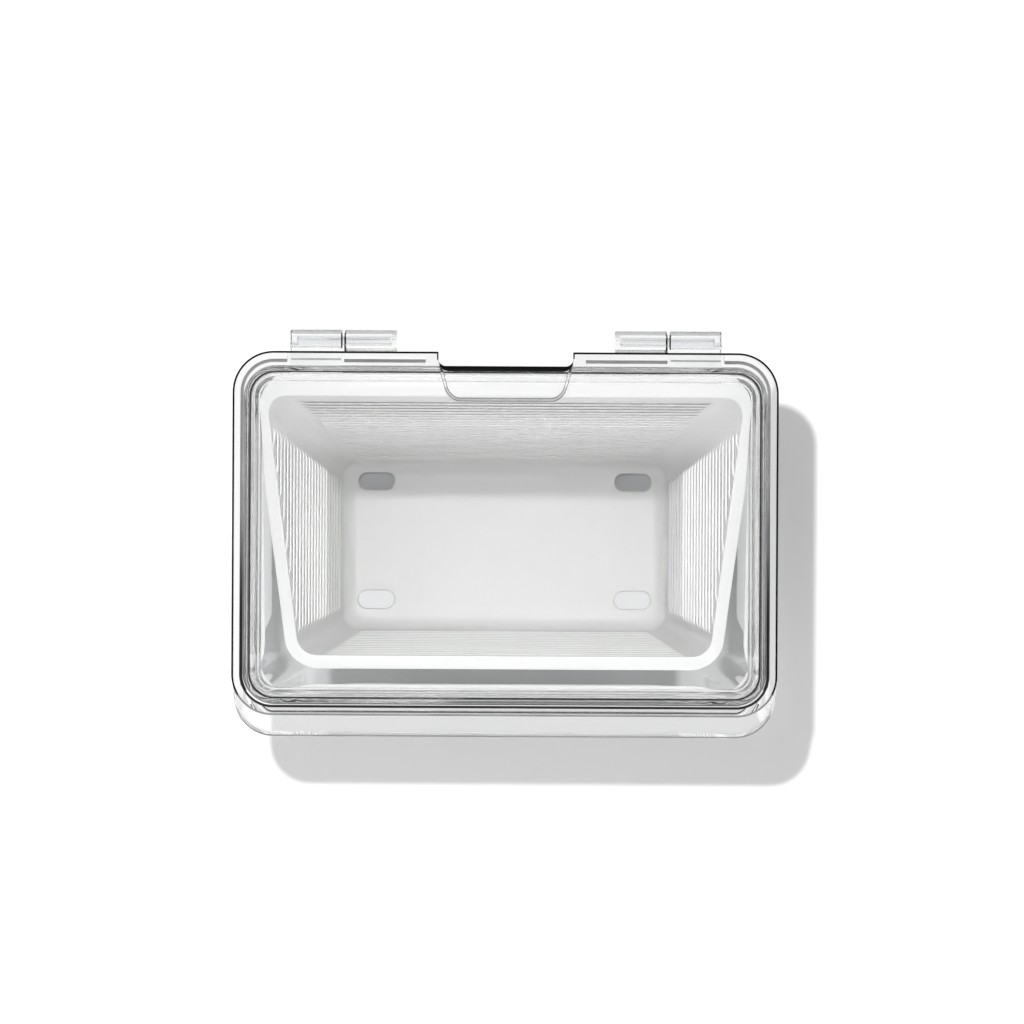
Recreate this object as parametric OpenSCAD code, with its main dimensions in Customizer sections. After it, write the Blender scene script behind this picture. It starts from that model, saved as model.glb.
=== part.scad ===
// Herb keeper: a clear container with a hinged lid and a lift-out ribbed basket.
// The origin is the middle of the base, the front is -Y and the hinges are at +Y.

/* [Overall] */
// Height from the base to the top of the closed lid
overall_h = 235; // [180:1:280]
// Smoothness of the round corners
corner_steps = 48; // [24:8:64]

/* [Lid] */
// Width of the lid
lid_w = 145; // [120:1:180]
// Depth of the lid without its lift lip
lid_d = 96.7; // [84:0.1:120]
// Corner radius of the lid
lid_r = 10.9; // [9:0.1:16]
// Thickness of the lid plate
plate_t = 2.2; // [1.6:0.1:3]
// Thickness of the skirt that hangs round the container
skirt_t = 2; // [1.4:0.1:2.4]
// Height of the skirt at the hinges, from the top of the lid
skirt_back_h = 6.5; // [5:0.1:7.4]
// Height of the lift lip at the front, from the top of the lid
lip_h = 10; // [8:0.1:14]
// Height of the lid's straight edge above the flare of the lift lip
lip_straight = 3.2; // [2.6:0.1:5]
// How far the lift lip flares forward
lip_reach = 6.2; // [3:0.1:8]
// Depth of the plug ring below the lid plate
plug_h = 5; // [3:0.1:7]
// Thickness of the plug ring
plug_t = 1.6; // [1.2:0.1:2.2]

/* [Back notch] */
// Width of the notch in the lid between the hinges
notch_w = 35.8; // [26:0.1:44]
// Corner radius inside the notch
notch_r = 2; // [1:0.1:3]
// Length of lid edge without a skirt at each side of the notch
notch_bare = 3.4; // [1:0.1:6]
// Width of the scoop at its inner end
scoop_end_w = 30.6; // [20:0.1:34]
// Length of the scoop from the notch inwards
scoop_l = 9.5; // [5:0.1:14]
// Depth of the scoop in the lid plate
scoop_depth = 1.1; // [0.5:0.1:1.3]
// Corner radius of the scoop
scoop_r = 3.6; // [2:0.1:4.5]

/* [Container] */
// Thickness of the container wall
wall_t = 2; // [1.6:0.1:2.6]
// Thickness of the container floor
floor_t = 3; // [2:0.1:5]
// Draft angle of the container wall
wall_draft = 1; // [0.5:0.1:1.5]
// Rounding of the outer base edge
base_round = 5; // [3:0.1:7]
// Gap between the skirt and the container at the front and sides
skirt_gap = 0.9; // [0.6:0.1:1.4]
// Gap between the skirt and the container at the hinges
skirt_gap_back = 1.7; // [1.4:0.1:2.2]
// Gap between the plug ring and the container wall
plug_gap = 0.4; // [0.3:0.1:0.8]
// Gap between the closed lid plate and the container rim
rim_gap = 0.3; // [0.2:0.1:0.5]

/* [Hinges] */
// Outer radius of a hinge knuckle
knuckle_r = 3.05; // [2.6:0.05:3.4]
// Length of a hinge knuckle
knuckle_l = 14; // [9:0.1:16]
// Gap between the two knuckles of a hinge
knuckle_gap = 0.5; // [0.3:0.1:0.8]
// Distance of each hinge from the side of the lid, at the gap between its knuckles
hinge_side = 29.3; // [26:0.1:33]
// Distance of the hinge axis behind the lid
hinge_back = 2.9; // [2.6:0.1:4]
// Depth of the hinge axis below the top of the lid
hinge_drop = 4.2; // [3.8:0.1:4.6]
// Radius of a hinge pin
pin_r = 1.2; // [0.8:0.05:1.6]
// Radial play of the pin in the lid knuckle
pin_play = 0.06; // [0.03:0.01:0.1]
// Radial play of the pin in the container knuckle
pin_seat = 0.02; // [0.01:0.01:0.05]
// Closed end of the lid knuckle
knuckle_end = 1.4; // [1:0.1:3]
// Depth of the pin's outer end inside the container knuckle
pin_recess = 1.9; // [0.5:0.1:3]
// Gap between the pin's inner end and the closed end of the lid knuckle
pin_end_gap = 0.3; // [0.2:0.1:1]

/* [Basket] */
// Room from the container's inside face to the basket's at the sides of the rim
basket_side_room = 3.1; // [2.5:0.05:6]
// Room from the container's inside face to the basket's at the front and back of the rim
basket_end_room = 5.3; // [5:0.1:9]
// Draft angle of the basket's side walls
basket_side_draft = 3.6; // [2:0.1:4.5]
// Draft angle of the basket's front and back walls
basket_end_draft = 3.1; // [2:0.1:3.4]
// How far the rim's middle lies in front of the lid's
basket_lead = 0.7; // [0:0.1:1]
// How far the floor lies in front of the rim's middle
basket_floor_shift = 2.2; // [0:0.1:5]
// Corner radius inside the basket
basket_r = 5.2; // [4:0.1:9]
// Thickness of the basket wall and floor
basket_t = 1.6; // [1.2:0.1:2.4]
// Rounding between the basket floor and its walls
basket_fillet = 4; // [2:0.1:5]
// Height of the feet under the basket floor
basket_foot_h = 6; // [4:0.1:10]
// Width of each corner foot
basket_foot_w = 16; // [10:0.5:22]
// Gap between the closed plug ring and the highest edge of the basket rim
basket_headroom = 3.5; // [3:0.1:12]
// Drop of the rim from back to front
rim_drop = 86; // [30:0.5:95]
// Thickness of the rim flange
rim_t = 2; // [1.4:0.1:3]
// Width of the rim flange at the sides
rim_side_w = 3.5; // [2.4:0.1:4.5]
// Width of the rim flange at the back
rim_back_w = 5.1; // [3:0.1:5.4]
// Width of the rim flange at the front
rim_front_w = 4.1; // [3:0.1:5]
// Gap between the basket rim and the container wall
basket_gap = 0.35; // [0.3:0.05:1]

/* [Basket ribs and drains] */
// Depth of the first rib below the back of the rim
rib_start = 16; // [8:0.5:30]
// Height of one rib step
rib_pitch = 8; // [6:0.5:14]
// Plain height left above the basket floor
rib_foot = 8; // [6:0.5:20]
// Width of a rib ledge
rib_ledge = 0.55; // [0.3:0.05:0.8]
// Plain width left beside each basket corner
rib_margin = 2.3; // [0.5:0.1:4]
// Length of a drain slot
slot_l = 11.6; // [6:0.1:14]
// Width of a drain slot
slot_w = 5.6; // [3:0.1:7]
// Distance of each drain slot's middle from the side of the floor
slot_side = 10.5; // [10:0.5:24]
// Distance of the back drain slots' middle from the back of the floor
slot_back = 5.8; // [5.5:0.1:14]
// Distance of the front drain slots' middle from the front of the floor
slot_front = 9.4; // [5.5:0.1:14]

/* [Hidden] */

clear_plastic = [0.86, 0.90, 0.92, 0.45];
white_plastic = [0.95, 0.95, 0.94];
pin_plastic = [0.75, 0.78, 0.80];

// Thickness of the thin outlines that a loft joins
slice = 0.02;
// Overlap that makes a cut or a joined shape go right through
over = 1;
// Angles at which a rounding between floor and wall is sliced
round_angles = [0, 30, 60, 90];

// The container outline at its rim, with its middle on the origin
rim_z = overall_h - plate_t - rim_gap;
body_w = lid_w - 2 * (skirt_t + skirt_gap);
body_d = lid_d - 2 * skirt_t - skirt_gap - skirt_gap_back;
body_r = lid_r - skirt_t - skirt_gap / 2;
draft_in = tan(wall_draft);

// The lid lies a little back, because its gap is wider at the hinges
lid_y = (skirt_gap_back - skirt_gap) / 2;
lid_front = lid_y - lid_d / 2;
lid_back = lid_y + lid_d / 2;
plate_z = overall_h - plate_t;
notch_y = body_d / 2;
plug_inset = wall_t + plug_gap;
lip_start = lid_front + lid_r;
lip_top = overall_h - lip_straight;

hinge_x = lid_w / 2 - hinge_side;
hinge_y = lid_back + hinge_back;
hinge_z = overall_h - hinge_drop;
// Room kept beside each of the container's hinge arms where the skirt is cut away
arm_room = 0.6;

// The basket's sizes, from its feet to the back of its rim
basket_floor_z = floor_t + basket_foot_h + basket_t;
basket_w = body_w - 2 * (wall_t + basket_side_room);
basket_d = body_d - 2 * (wall_t + basket_end_room);
rim_slope = rim_drop / basket_d;
basket_top_z = plate_z - plug_h - basket_headroom - rim_back_w * rim_slope;
basket_h = basket_top_z - basket_floor_z;
basket_floor_w = basket_w - 2 * basket_h * tan(basket_side_draft);
basket_floor_d = basket_d - 2 * basket_h * tan(basket_end_draft);
basket_y = lid_y - basket_lead;
basket_floor_y = basket_y - basket_floor_shift;
slot_x = basket_floor_w / 2 - slot_side;
slot_ys = [
    basket_floor_y + basket_floor_d / 2 - slot_back,
    basket_floor_y - basket_floor_d / 2 + slot_front
];
// Points of the rim's top line in a side view, past the flange at both ends
rim_far_y = basket_y + basket_d / 2 + rim_back_w + over;
rim_near_y = basket_y - basket_d / 2 - rim_front_w - over;
rib_count = ceil((basket_h - rib_start - rib_foot) / rib_pitch);

// Height of the rim's top line at a place from front to back
function rim_at(y) = basket_top_z + (y - basket_y - basket_d / 2) * rim_slope;

// Place from front to back at which the rim's top line has a height
function rim_y_at(z) = basket_y + basket_d / 2 + (z - basket_top_z) / rim_slope;

// Share of the way from the back of the basket rim down to its floor
function down(z) = (basket_top_z - z) / basket_h;

// Half width of the basket's inside at a height
function half_w_at(z) = (basket_w + (basket_floor_w - basket_w) * down(z)) / 2;

// Half depth of the basket's inside at a height
function half_d_at(z) = (basket_d + (basket_floor_d - basket_d) * down(z)) / 2;

// Middle of the basket's inside at a height, from front to back
function mid_y_at(z) = basket_y - basket_floor_shift * down(z);

// A flat rectangle with round corners, true arcs
module rounded_rect(w, d, r) {
    square([w - 2 * r, d], center = true);
    square([w, d - 2 * r], center = true);
    for (x = [-1, 1], y = [-1, 1])
        translate([x * (w / 2 - r), y * (d / 2 - r)]) circle(r, $fn = corner_steps);
}

// A thin rounded outline at a height, for lofts
module outline(w, d, r, y, z) {
    translate([0, y, z]) linear_extrude(slice) rounded_rect(w, d, r);
}

// A shape drawn in a side view as [y, z] points and carried across the width
module across(w, points) {
    rotate([90, 0, 90]) translate([0, 0, -w / 2]) linear_extrude(w) polygon(points);
}

// The container's form, drafted, moved in from its outer face by an inset
module body_form(inset, bottom_z, top_z, round_r) {
    shrink = 2 * draft_in;
    low = rim_z - bottom_z;
    hull() {
        w = body_w - 2 * inset;
        d = body_d - 2 * inset;
        r = body_r - inset;
        outline(w + shrink * (top_z - rim_z), d + shrink * (top_z - rim_z), r, 0, top_z - slice);
        for (a = round_angles) {
            in = 2 * round_r * (1 - sin(a)) + shrink * low;
            outline(w - in, d - in, r, 0, bottom_z + round_r * (1 - cos(a)));
        }
    }
}

// A container knuckle and the arm that carries it below the lid
module container_knuckle(side) {
    x0 = side > 0 ? hinge_x + knuckle_gap / 2 : -hinge_x - knuckle_gap / 2 - knuckle_l;
    arm_top = rim_z - rim_gap;
    arm_low = hinge_z - knuckle_r;
    wall_y = body_d / 2;
    translate([x0, hinge_y, hinge_z]) rotate([0, 90, 0])
        cylinder(knuckle_l, r = knuckle_r, $fn = corner_steps);
    translate([x0 + knuckle_l / 2, 0, 0]) across(knuckle_l, [
        [hinge_y, arm_low],
        [wall_y - wall_t / 2, arm_low],
        [wall_y - wall_t / 2, arm_top],
        [hinge_y, arm_top]
    ]);
}

module container() color(clear_plastic) {
    difference() {
        union() {
            difference() {
                body_form(0, 0, rim_z, base_round);
                body_form(wall_t, floor_t, rim_z + over, base_round - wall_t);
            }
            for (side = [-1, 1]) container_knuckle(side);
        }
        translate([-lid_w / 2, hinge_y, hinge_z]) rotate([0, 90, 0])
            cylinder(lid_w, r = pin_r + pin_seat, $fn = corner_steps);
    }
}

// The basket's form, moved out from its inside face, from a low to a high level
module basket_form(grow, low_z, high_z) {
    hull() for (z = [low_z, high_z - slice])
        outline(2 * (half_w_at(z) + grow), 2 * (half_d_at(z) + grow), basket_r + grow, mid_y_at(z), z);
}

// The hollow of the basket, rounded where the floor meets the walls
module basket_hollow() {
    top = basket_top_z + rim_t + over + rim_slope * (rim_back_w + over);
    hull() {
        outline(2 * half_w_at(top), 2 * half_d_at(top), basket_r, mid_y_at(top), top);
        for (a = round_angles) {
            z = basket_floor_z + basket_fillet * (1 - cos(a));
            in = basket_fillet * (1 - sin(a));
            outline(2 * (half_w_at(z) - in), 2 * (half_d_at(z) - in), basket_r, mid_y_at(z), z);
        }
    }
}

// The flange that follows the sloping rim, kept clear of the container wall
module basket_rim() {
    intersection() {
        across(lid_w, [
            [rim_near_y, rim_at(rim_near_y) - rim_t],
            [rim_far_y, rim_at(rim_far_y) - rim_t],
            [rim_far_y, rim_at(rim_far_y)],
            [rim_near_y, rim_at(rim_near_y)]
        ]);
        rim_form();
        body_form(wall_t + basket_gap, floor_t, rim_z, base_round);
    }
}

// The rim flange's outer form, wider at the back than at the front
module rim_form() {
    low = rim_at(rim_near_y) - rim_t;
    high = rim_at(rim_far_y);
    hull() for (z = [low, high]) {
        shift = (rim_back_w - rim_front_w) / 2;
        depth = 2 * half_d_at(z) + rim_back_w + rim_front_w;
        outline(2 * (half_w_at(z) + rim_side_w), depth, basket_r + rim_side_w, mid_y_at(z) + shift, z);
    }
}

// A straight wall line as its value at height 0 and its rise with height
function wall_line(low, high) =
    let (rise = (high - low) / basket_h)
    [low - rise * basket_floor_z, rise];

// Distance of a wall line from the middle at a height
function wall_at(line, z) = line[0] + line[1] * z;

// One wall's rib steps as a side view, rooted in the wall: distance from the middle against height
function rib_steps(line) =
    let (top = basket_top_z - rib_start,
         end = basket_floor_z + rib_foot,
         root = basket_t / 2)
    concat(
        [[wall_at(line, end) + root, end], [wall_at(line, top) + root, top]],
        [for (i = [0:rib_count - 1], step = [0, 1])
            let (z = top - i * rib_pitch,
                 low = max(z - rib_pitch, end))
            step == 0 ? [wall_at(line, z) - rib_ledge, z] : [wall_at(line, low), low]]
    );

// The ribs of one wall, laid along X, limited to the flat of the wall by an outline in its own plane
module wall_ribs(line, zone) {
    intersection() {
        across(lid_w, rib_steps(line));
        rotate([90, 0, 0]) translate([0, 0, -lid_w]) linear_extrude(2 * lid_w) polygon(zone);
    }
}

module basket_ribs() {
    top = basket_top_z - rib_start;
    low = basket_floor_z + rib_foot;
    clear = basket_r + rib_margin;
    front_top = min(top, rim_at(basket_y - basket_d / 2) - rim_t);
    side_line = wall_line(basket_floor_w / 2, basket_w / 2);
    back_line = wall_line(basket_floor_d / 2 + basket_floor_y, basket_d / 2 + basket_y);
    front_line = wall_line(basket_floor_d / 2 - basket_floor_y, basket_d / 2 - basket_y);
    wide_low = half_w_at(low) - clear;
    wide_top = half_w_at(top) - clear;
    wide_front = half_w_at(front_top) - clear;
    far_low = mid_y_at(low) + half_d_at(low) - clear;
    far_top = mid_y_at(top) + half_d_at(top) - clear;
    near_low = mid_y_at(low) - half_d_at(low) + clear;
    near_top = mid_y_at(front_top) - half_d_at(front_top) + clear;
    bend = min(far_top, rim_y_at(top + rim_t));
    side_zone = [
        [near_low, low],
        [far_low, low],
        [far_top, rim_at(bend) - rim_t],
        [bend, rim_at(bend) - rim_t],
        [near_top, rim_at(near_top) - rim_t]
    ];
    wall_ribs(back_line, [[-wide_low, low], [wide_low, low], [wide_top, top], [-wide_top, top]]);
    rotate([0, 0, 180]) wall_ribs(front_line,
        [[-wide_low, low], [wide_low, low], [wide_front, front_top], [-wide_front, front_top]]);
    rotate([0, 0, -90]) wall_ribs(side_line, [for (p = side_zone) [-p[0], p[1]]]);
    rotate([0, 0, 90]) wall_ribs(side_line, side_zone);
}

module drain_slot() {
    for (x = [-1, 1]) translate([x * (slot_l - slot_w) / 2, 0, 0])
        cylinder(basket_t + 2 * over, d = slot_w, $fn = corner_steps);
    translate([-(slot_l - slot_w) / 2, -slot_w / 2, 0])
        cube([slot_l - slot_w, slot_w, basket_t + 2 * over]);
}

module basket() color(white_plastic) {
    foot_z = floor_t;
    under_z = basket_floor_z - basket_t;
    foot_gap_w = basket_floor_w - 2 * basket_foot_w;
    foot_gap_d = basket_floor_d - 2 * basket_foot_w;
    difference() {
        union() {
            intersection() {
                basket_form(basket_t, foot_z, rim_at(rim_far_y));
                across(lid_w, [
                    [rim_near_y, 0],
                    [rim_far_y, 0],
                    [rim_far_y, rim_at(rim_far_y)],
                    [rim_near_y, rim_at(rim_near_y)]
                ]);
                body_form(wall_t + basket_gap, 0, rim_z, base_round);
            }
            basket_rim();
        }
        basket_hollow();
        basket_form(0, foot_z - over, under_z);
        translate([-foot_gap_w / 2, -lid_d, foot_z - over])
            cube([foot_gap_w, 2 * lid_d, under_z - foot_z + over]);
        translate([-lid_w, basket_floor_y - foot_gap_d / 2, foot_z - over])
            cube([2 * lid_w, foot_gap_d, under_z - foot_z + over]);
        for (x = [-1, 1], y = slot_ys)
            translate([x * slot_x, y, under_z - over]) drain_slot();
    }
    basket_ribs();
}

// The lift lip's form, moved in from its outer face: the lid's front edge carried down and forward
module lip_form(inset, low_z) {
    r = lid_r - inset;
    x = lid_w / 2 - lid_r;
    hull() for (level = [[lip_top, 0], [overall_h - lip_h, lip_reach], [low_z, lip_reach]]) {
        for (side = [-1, 1])
            translate([side * x, lip_start - level[1], level[0]])
                cylinder(slice, r = r, $fn = corner_steps);
        translate([-lid_w / 2 + inset, lip_start - slice, level[0]])
            cube([lid_w - 2 * inset, slice, slice]);
    }
}

// The lift lip: the front of the skirt, flared forward
module lift_lip() {
    intersection() {
        difference() {
            lip_form(0, overall_h - lip_h);
            lip_form(skirt_t, overall_h - lip_h - over);
        }
        translate([-lid_w / 2, lip_start - lid_d + slice, overall_h - lip_h]) cube([lid_w, lid_d, lip_h]);
    }
}

// The skirt, shallow over the lift lip and deeper from the hinges towards the front
module skirt() {
    intersection() {
        translate([0, lid_y, overall_h - lip_h]) linear_extrude(lip_h - plate_t / 2) difference() {
            rounded_rect(lid_w, lid_d, lid_r);
            rounded_rect(lid_w - 2 * skirt_t, lid_d - 2 * skirt_t, lid_r - skirt_t);
        }
        across(lid_w, [
            [lid_front, lip_top],
            [lip_start, lip_top],
            [lip_start, overall_h - lip_h],
            [lid_back, overall_h - skirt_back_h],
            [lid_back, overall_h],
            [lid_front, overall_h]
        ]);
    }
}

// The ring under the plate that locates the lid in the container
module plug_ring() {
    w = body_w - 2 * plug_inset;
    d = body_d - 2 * plug_inset;
    r = body_r - plug_inset;
    translate([0, 0, plate_z - plug_h]) linear_extrude(plug_h + plate_t / 2) difference() {
        rounded_rect(w, d, r);
        rounded_rect(w - 2 * plug_t, d - 2 * plug_t, r - plug_t);
    }
}

// A lid knuckle and the web that carries it from the lid's back edge
module lid_knuckle(side) {
    x0 = side > 0 ? hinge_x - knuckle_gap / 2 - knuckle_l : -hinge_x + knuckle_gap / 2;
    translate([x0, hinge_y, hinge_z]) rotate([0, 90, 0])
        cylinder(knuckle_l, r = knuckle_r, $fn = corner_steps);
    translate([x0 + knuckle_l / 2, 0, 0]) across(knuckle_l, [
        [hinge_y, hinge_z + knuckle_r],
        [lid_back - skirt_t / 2, overall_h - plate_t / 2],
        [lid_back - skirt_t / 2, hinge_z - pin_r],
        [hinge_y, hinge_z - pin_r]
    ]);
}

// Outline of the back notch, with its two inner corners round
module notch_outline() {
    deep = lid_back - notch_y + over;
    translate([-notch_w / 2 + notch_r, notch_y]) square([notch_w - 2 * notch_r, deep]);
    translate([-notch_w / 2, notch_y + notch_r]) square([notch_w, deep - notch_r]);
    for (x = [-1, 1])
        translate([x * (notch_w / 2 - notch_r), notch_y + notch_r]) circle(notch_r, $fn = corner_steps);
}

// The scoop in the plate: wide at the notch, narrower and round at its inner end
module scoop() {
    far = notch_y + over;
    near = notch_y - scoop_l;
    translate([0, 0, overall_h - scoop_depth]) linear_extrude(scoop_depth + over) {
        polygon([
            [-notch_w / 2, far],
            [-scoop_end_w / 2, near + scoop_r],
            [-scoop_end_w / 2 + scoop_r, near],
            [scoop_end_w / 2 - scoop_r, near],
            [scoop_end_w / 2, near + scoop_r],
            [notch_w / 2, far]
        ]);
        for (x = [-1, 1])
            translate([x * (scoop_end_w / 2 - scoop_r), near + scoop_r])
                circle(scoop_r, $fn = corner_steps);
    }
}

// Room in the skirt for one of the container's hinge arms
module arm_relief(side) {
    w = knuckle_gap + knuckle_l + arm_room;
    x = hinge_x - knuckle_gap / 2;
    translate([side > 0 ? x : -x - w, body_d / 2, plate_z - lip_h])
        cube([w, lid_back - body_d / 2 + over, lip_h]);
}

module lid() color(clear_plastic) {
    bore_l = 2 * (hinge_x - knuckle_gap / 2 - knuckle_l + knuckle_end);
    difference() {
        union() {
            translate([0, lid_y, plate_z]) linear_extrude(plate_t) rounded_rect(lid_w, lid_d, lid_r);
            skirt();
            lift_lip();
            plug_ring();
            for (side = [-1, 1]) lid_knuckle(side);
        }
        translate([0, 0, overall_h - lip_h - over]) linear_extrude(lip_h + 2 * over) notch_outline();
        translate([-notch_w / 2 - notch_bare, notch_y, plate_z - lip_h])
            cube([notch_w + 2 * notch_bare, lid_back - notch_y + over, lip_h]);
        for (side = [-1, 1]) arm_relief(side);
        scoop();
        difference() {
            translate([-lid_w / 2, hinge_y, hinge_z]) rotate([0, 90, 0])
                cylinder(lid_w, r = pin_r + pin_play, $fn = corner_steps);
            translate([-bore_l / 2, hinge_y - knuckle_r, hinge_z - knuckle_r])
                cube([bore_l, 2 * knuckle_r, 2 * knuckle_r]);
        }
    }
}

// A hinge pin, held in the container knuckle and running in the lid knuckle
module hinge_pin(side) {
    outer = hinge_x + knuckle_gap / 2 + knuckle_l - pin_recess;
    inner = hinge_x - knuckle_gap / 2 - knuckle_l + knuckle_end + pin_end_gap;
    translate([side > 0 ? inner : -outer, hinge_y, hinge_z]) rotate([0, 90, 0])
        cylinder(outer - inner, r = pin_r, $fn = corner_steps);
}

module hinge_pin_left() color(pin_plastic) hinge_pin(-1);

module hinge_pin_right() color(pin_plastic) hinge_pin(1);

container();
basket();
lid();
hinge_pin_left();
hinge_pin_right();
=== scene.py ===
import math

import bmesh
import bpy
import numpy as np
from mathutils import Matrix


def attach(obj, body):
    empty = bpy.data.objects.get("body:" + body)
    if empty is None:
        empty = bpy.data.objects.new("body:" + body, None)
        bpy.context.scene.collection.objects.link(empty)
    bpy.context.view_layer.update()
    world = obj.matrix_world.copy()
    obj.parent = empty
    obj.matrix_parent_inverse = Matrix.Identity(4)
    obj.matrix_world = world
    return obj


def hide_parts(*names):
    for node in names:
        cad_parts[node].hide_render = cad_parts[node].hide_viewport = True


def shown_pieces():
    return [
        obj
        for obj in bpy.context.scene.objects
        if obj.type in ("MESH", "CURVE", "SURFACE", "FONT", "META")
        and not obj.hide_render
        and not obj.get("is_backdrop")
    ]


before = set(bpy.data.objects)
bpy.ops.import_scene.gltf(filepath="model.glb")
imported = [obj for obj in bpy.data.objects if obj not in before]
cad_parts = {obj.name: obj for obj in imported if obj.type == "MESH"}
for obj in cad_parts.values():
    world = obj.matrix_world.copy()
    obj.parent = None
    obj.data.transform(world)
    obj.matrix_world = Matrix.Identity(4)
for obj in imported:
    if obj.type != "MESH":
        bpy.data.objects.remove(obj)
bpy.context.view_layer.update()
print("frame loaded, nodes:", sorted(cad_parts))

mm = 0.001
scene = bpy.context.scene


# Shared shape helpers, all in millimetres

meshLook = {"merge": 2e-6, "thin": 1e-6}


# Weights of a rounded rectangle that goes round once: x = a*(halfW-r) + c*r, y = b*(halfD-r) + d*r.
# Corners step evenly in angle, straights step by the cosine of an even turn, closer near the corners.
# Marks are further places along the straights, as shares of their length.
def outlineWeights(cornerSteps, straightSteps, marksX=(), marksY=()):
    signs = [(1, 1), (-1, 1), (-1, -1), (1, -1), (1, 1)]
    parts = []
    for k in range(4):
        turn = (k + np.linspace(0, 1, cornerSteps + 1)) * math.pi / 2
        ones = np.ones_like(turn)
        parts.append(np.stack([signs[k][0] * ones, signs[k][1] * ones, np.cos(turn), np.sin(turn)], -1))
        way = 0.5 - 0.5 * np.cos(np.linspace(0, math.pi, straightSteps + 1)[1:-1])
        way = np.sort(np.concatenate([way, marksX if k % 2 == 0 else marksY]))
        a = signs[k][0] + (signs[k + 1][0] - signs[k][0]) * way
        b = signs[k][1] + (signs[k + 1][1] - signs[k][1]) * way
        end = (k + 1) * math.pi / 2
        parts.append(np.stack([a, b, np.full_like(a, math.cos(end)), np.full_like(a, math.sin(end))], -1))
    return np.concatenate(parts)


# Rows of rounded rectangles: each row has its half width, half depth, corner radius, middle and height.
# Every value may be one number for all rows or one per row.
def outlineGrid(weights, halfW, halfD, radius, midX, midY, height):
    rows = [np.asarray(v, float) for v in (halfW, halfD, radius, midX, midY, height)]
    halfW, halfD, radius, midX, midY, height = [v[:, None] if v.ndim else v for v in rows]
    a, b, c, d = weights.T
    x = a * (halfW - radius) + c * radius + midX
    y = b * (halfD - radius) + d * radius + midY
    return np.stack(np.broadcast_arrays(x, y, height), -1)


# A grid closed round its columns as a mesh, with flat caps or wrapped rows and a material slot per face.
# Points that fall together are merged, and the faces are turned outwards by the sign of the volume.
def gridMesh(name, grid, wrapRows, slots):
    rows, cols = grid.shape[:2]
    i = np.arange(rows if wrapRows else rows - 1)[:, None]
    j = np.arange(cols)[None, :]
    nextRow, nextCol = (i + 1) % rows, (j + 1) % cols
    corners = (i * cols + j, i * cols + nextCol, nextRow * cols + nextCol, nextRow * cols + j)
    quads = np.stack(np.broadcast_arrays(*corners), -1).reshape(-1, 4)
    faces = quads.tolist()
    if not wrapRows:
        faces += [list(range(cols))[::-1], list(range((rows - 1) * cols, rows * cols))]
    mesh = bpy.data.meshes.new(name)
    mesh.from_pydata((grid.reshape(-1, 3) * mm).tolist(), [], faces)
    if slots is not None:
        chosen = np.concatenate([slots.reshape(-1), np.zeros(len(faces) - len(quads), int)])
        mesh.polygons.foreach_set("material_index", chosen.astype(np.int32))
    work = bmesh.new()
    work.from_mesh(mesh)
    bmesh.ops.remove_doubles(work, verts=work.verts, dist=meshLook["merge"])
    bmesh.ops.dissolve_degenerate(work, dist=meshLook["thin"], edges=work.edges)
    if work.calc_volume(signed=True) < 0:
        bmesh.ops.reverse_faces(work, faces=work.faces)
    work.to_mesh(mesh)
    work.free()
    return mesh


def makeObject(name, data):
    made = bpy.data.objects.new(name, data)
    scene.collection.objects.link(made)
    return made


# A named object from a grid, with its materials in the order of their slots
def makeShape(name, grid, skins=(), wrapRows=False, slots=None):
    made = makeObject(name, gridMesh(name, grid, wrapRows, slots))
    for skin in skins:
        made.data.materials.append(skin)
    return made


# Joins or cuts one closed shape with others, then keeps the result as the piece's own mesh
def combine(piece, tools, operation):
    for tool in tools:
        step = piece.modifiers.new("combine", "BOOLEAN")
        step.operation = operation
        step.solver = "EXACT"
        step.object = tool
    bpy.context.view_layer.update()
    ready = piece.evaluated_get(bpy.context.evaluated_depsgraph_get())
    mesh = bpy.data.meshes.new_from_object(ready)
    piece.modifiers.clear()
    piece.data = mesh
    for tool in tools:
        bpy.data.objects.remove(tool)


# Smooth faces with a crisp line wherever two faces meet at more than the given angle or in two materials
def softShade(piece, angle):
    mesh = piece.data
    mesh.shade_smooth()
    mesh.set_sharp_from_angle(angle=math.radians(angle))
    edgeOf = np.empty(len(mesh.loops), np.int32)
    sizes = np.empty(len(mesh.polygons), np.int32)
    skins = np.empty(len(mesh.polygons), np.int32)
    sharp = np.empty(len(mesh.edges), bool)
    mesh.loops.foreach_get("edge_index", edgeOf)
    mesh.polygons.foreach_get("loop_total", sizes)
    mesh.polygons.foreach_get("material_index", skins)
    mesh.edges.foreach_get("use_edge_sharp", sharp)
    skinOf = np.repeat(skins, sizes)
    least, most = np.full(len(sharp), skins.max()), np.zeros(len(sharp), int)
    np.minimum.at(least, edgeOf, skinOf)
    np.maximum.at(most, edgeOf, skinOf)
    mesh.edges.foreach_set("use_edge_sharp", sharp | (least != most))


# A quarter turn of a small rounding as (across, up) pairs between 0 and 1
def quarter(steps):
    turn = np.linspace(0, math.pi / 2, steps + 1)
    return np.cos(turn), np.sin(turn)


# Node helpers

# Sets inputs of a node by name or number: a value goes on the socket itself, an output is linked to it
def setInputs(tree, node, inputs):
    for key, value in inputs.items():
        if isinstance(value, bpy.types.NodeSocket):
            tree.links.new(value, node.inputs[key])
        else:
            node.inputs[key].default_value = value


def addNode(tree, kind, inputs=None, **settings):
    node = tree.nodes.new("ShaderNode" + kind)
    for key, value in settings.items():
        setattr(node, key, value)
    setInputs(tree, node, inputs or {})
    return node


def addMath(tree, operation, *values):
    return addNode(tree, "Math", dict(enumerate(values)), operation=operation).outputs["Value"]


def addVector(tree, operation, *values):
    node = addNode(tree, "VectorMath", dict(enumerate(values)), operation=operation)
    return node.outputs["Value" if operation == "DOT_PRODUCT" else "Vector"]


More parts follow.
